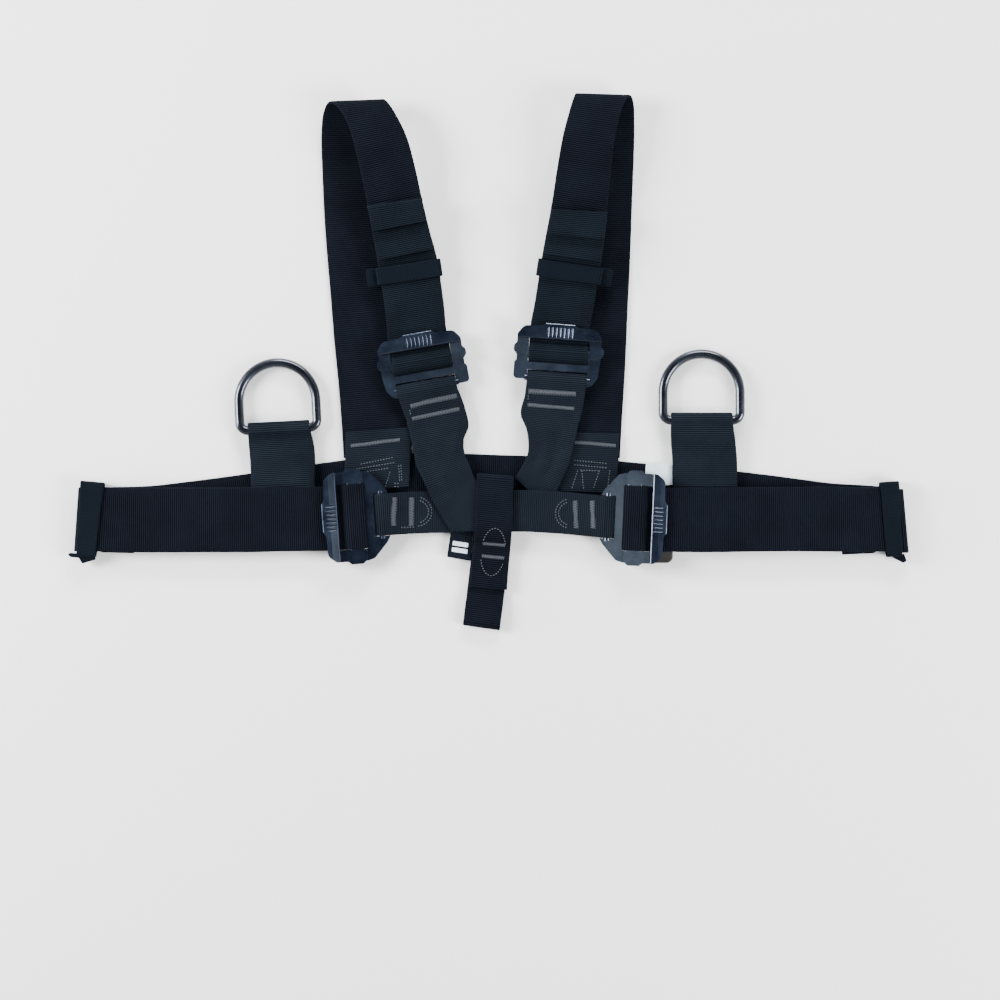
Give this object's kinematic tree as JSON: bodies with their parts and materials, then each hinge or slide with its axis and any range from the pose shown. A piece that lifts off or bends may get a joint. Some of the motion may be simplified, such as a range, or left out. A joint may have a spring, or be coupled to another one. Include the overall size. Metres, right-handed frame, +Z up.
{
  "type": "body harness",
  "caption": "Body-worn webbing harness laid flat: waist belt with D-rings and sliding-bar buckles, shoulder straps on buckles, a chest strip, a yoke and a hanging centre loop.",
  "frame": {"origin": "middle of the laid-out harness, on the ground it lies on", "axes": "+X along the waist belt towards its right end as seen from above, +Y from the belt to the shoulder straps' folds, +Z up from the ground"},
  "size_m": [0.65, 0.4173, 0.0259],
  "materials": {
    "webbing_black": "woven, ribbed across the width, matt",
    "webbing_charcoal": "woven, softer and slightly lighter, matt",
    "elastic": "knitted elastic, matt",
    "buckle_metal": "glossy blue-black coating on forged metal",
    "ring_metal": "glossy dark coating on round steel wire",
    "label_dark": "woven label, dark with plain pale bars",
    "label_white": "plain printed-cloth label, blank",
    "leather_tab": "dark brown-black leather, satin"
  },
  "bodies": {
    "harness": {"back_belt": "webbing_black", "front_belt_left": "webbing_black", "front_belt_right": "webbing_black", "belt_tail_left": "webbing_black", "belt_tail_right": "webbing_black", "chest_strip": "webbing_charcoal", "yoke_left": "webbing_charcoal", "yoke_right": "webbing_charcoal", "centre_loop": "webbing_charcoal", "shoulder_strap_left": "webbing_black", "shoulder_strap_right": "webbing_black", "shoulder_tail_left": "webbing_charcoal", "shoulder_tail_right": "webbing_charcoal", "shoulder_patch_left": "webbing_charcoal", "shoulder_patch_right": "webbing_charcoal", "d_ring_tab_left": "webbing_black", "d_ring_tab_right": "webbing_black", "woven_label": "label_dark", "care_label": "label_white", "buckle_pad": "leather_tab"},
    "d_ring_left": {"d_ring_left": "ring_metal"},
    "d_ring_right": {"d_ring_right": "ring_metal"},
    "waist_buckle_left": {"waist_frame_left": "buckle_metal"},
    "waist_bar_left": {"waist_slider_left": "buckle_metal", "waist_turn_left": "webbing_black"},
    "waist_buckle_right": {"waist_frame_right": "buckle_metal"},
    "waist_bar_right": {"waist_slider_right": "buckle_metal", "waist_turn_right": "webbing_black"},
    "shoulder_buckle_left": {"shoulder_frame_left": "buckle_metal"},
    "shoulder_bar_left": {"shoulder_slider_left": "buckle_metal", "shoulder_turn_left": "webbing_black"},
    "shoulder_buckle_right": {"shoulder_frame_right": "buckle_metal"},
    "shoulder_bar_right": {"shoulder_slider_right": "buckle_metal", "shoulder_turn_right": "webbing_black"},
    "belt_keeper_left": {"belt_keeper_left": "elastic"},
    "belt_keeper_right": {"belt_keeper_right": "elastic"},
    "shoulder_keeper_left": {"shoulder_keeper_left": "elastic"},
    "shoulder_keeper_right": {"shoulder_keeper_right": "elastic"}
  },
  "joints": [
    {"name": "d_ring_left_swing", "type": "hinge", "parent": "harness", "child": "d_ring_left", "pos_m": [-0.1628, -0.0512, 0.00615], "axis": [0.9986, 0.0523, 0], "range_deg": [0, 155]},
    {"name": "d_ring_right_swing", "type": "hinge", "parent": "harness", "child": "d_ring_right", "pos_m": [0.1663, -0.0444, 0.00615], "axis": [1, 0, 0], "range_deg": [0, 155]},
    {"name": "waist_buckle_left_tilt", "type": "hinge", "parent": "harness", "child": "waist_buckle_left", "pos_m": [-0.0827, -0.1178, 0.0089], "axis": [-0.0698, 0.9976, 0], "range_deg": [0, 25]},
    {"name": "waist_bar_left_slide", "type": "slide", "parent": "waist_buckle_left", "child": "waist_bar_left", "axis": [-0.9976, -0.0698, 0], "range_m": [0, 0.003]},
    {"name": "waist_buckle_right_tilt", "type": "hinge", "parent": "harness", "child": "waist_buckle_right", "pos_m": [0.0932, -0.1197, 0.0089], "axis": [-0.0436, -0.999, 0], "range_deg": [0, 25]},
    {"name": "waist_bar_right_slide", "type": "slide", "parent": "waist_buckle_right", "child": "waist_bar_right", "axis": [0.999, -0.0436, 0], "range_m": [0, 0.003]},
    {"name": "shoulder_buckle_left_tilt", "type": "hinge", "parent": "harness", "child": "shoulder_buckle_left", "pos_m": [-0.0478, -0.0186, 0.0072], "axis": [0.9848, 0.1736, 0], "range_deg": [0, 25]},
    {"name": "shoulder_bar_left_slide", "type": "slide", "parent": "shoulder_buckle_left", "child": "shoulder_bar_left", "axis": [-0.1736, 0.9848, 0], "range_m": [0, 0.002]},
    {"name": "shoulder_buckle_right_tilt", "type": "hinge", "parent": "harness", "child": "shoulder_buckle_right", "pos_m": [0.0535, -0.0124, 0.0072], "axis": [0.9976, -0.0698, 0], "range_deg": [0, 25]},
    {"name": "shoulder_bar_right_slide", "type": "slide", "parent": "shoulder_buckle_right", "child": "shoulder_bar_right", "axis": [0.0698, 0.9976, 0], "range_m": [0, 0.002]},
    {"name": "belt_keeper_left_slide", "type": "slide", "parent": "harness", "child": "belt_keeper_left", "axis": [1, 0, 0], "range_m": [0, 0.025]},
    {"name": "belt_keeper_right_slide", "type": "slide", "parent": "harness", "child": "belt_keeper_right", "axis": [-1, 0, 0], "range_m": [0, 0.015]},
    {"name": "shoulder_keeper_left_slide", "type": "slide", "parent": "harness", "child": "shoulder_keeper_left", "axis": [0.149, -0.9853, -0.0837], "range_m": [0, 0.02]},
    {"name": "shoulder_keeper_right_slide", "type": "slide", "parent": "harness", "child": "shoulder_keeper_right", "axis": [-0.1507, -0.985, -0.0837], "range_m": [0, 0.02]}
  ]
}
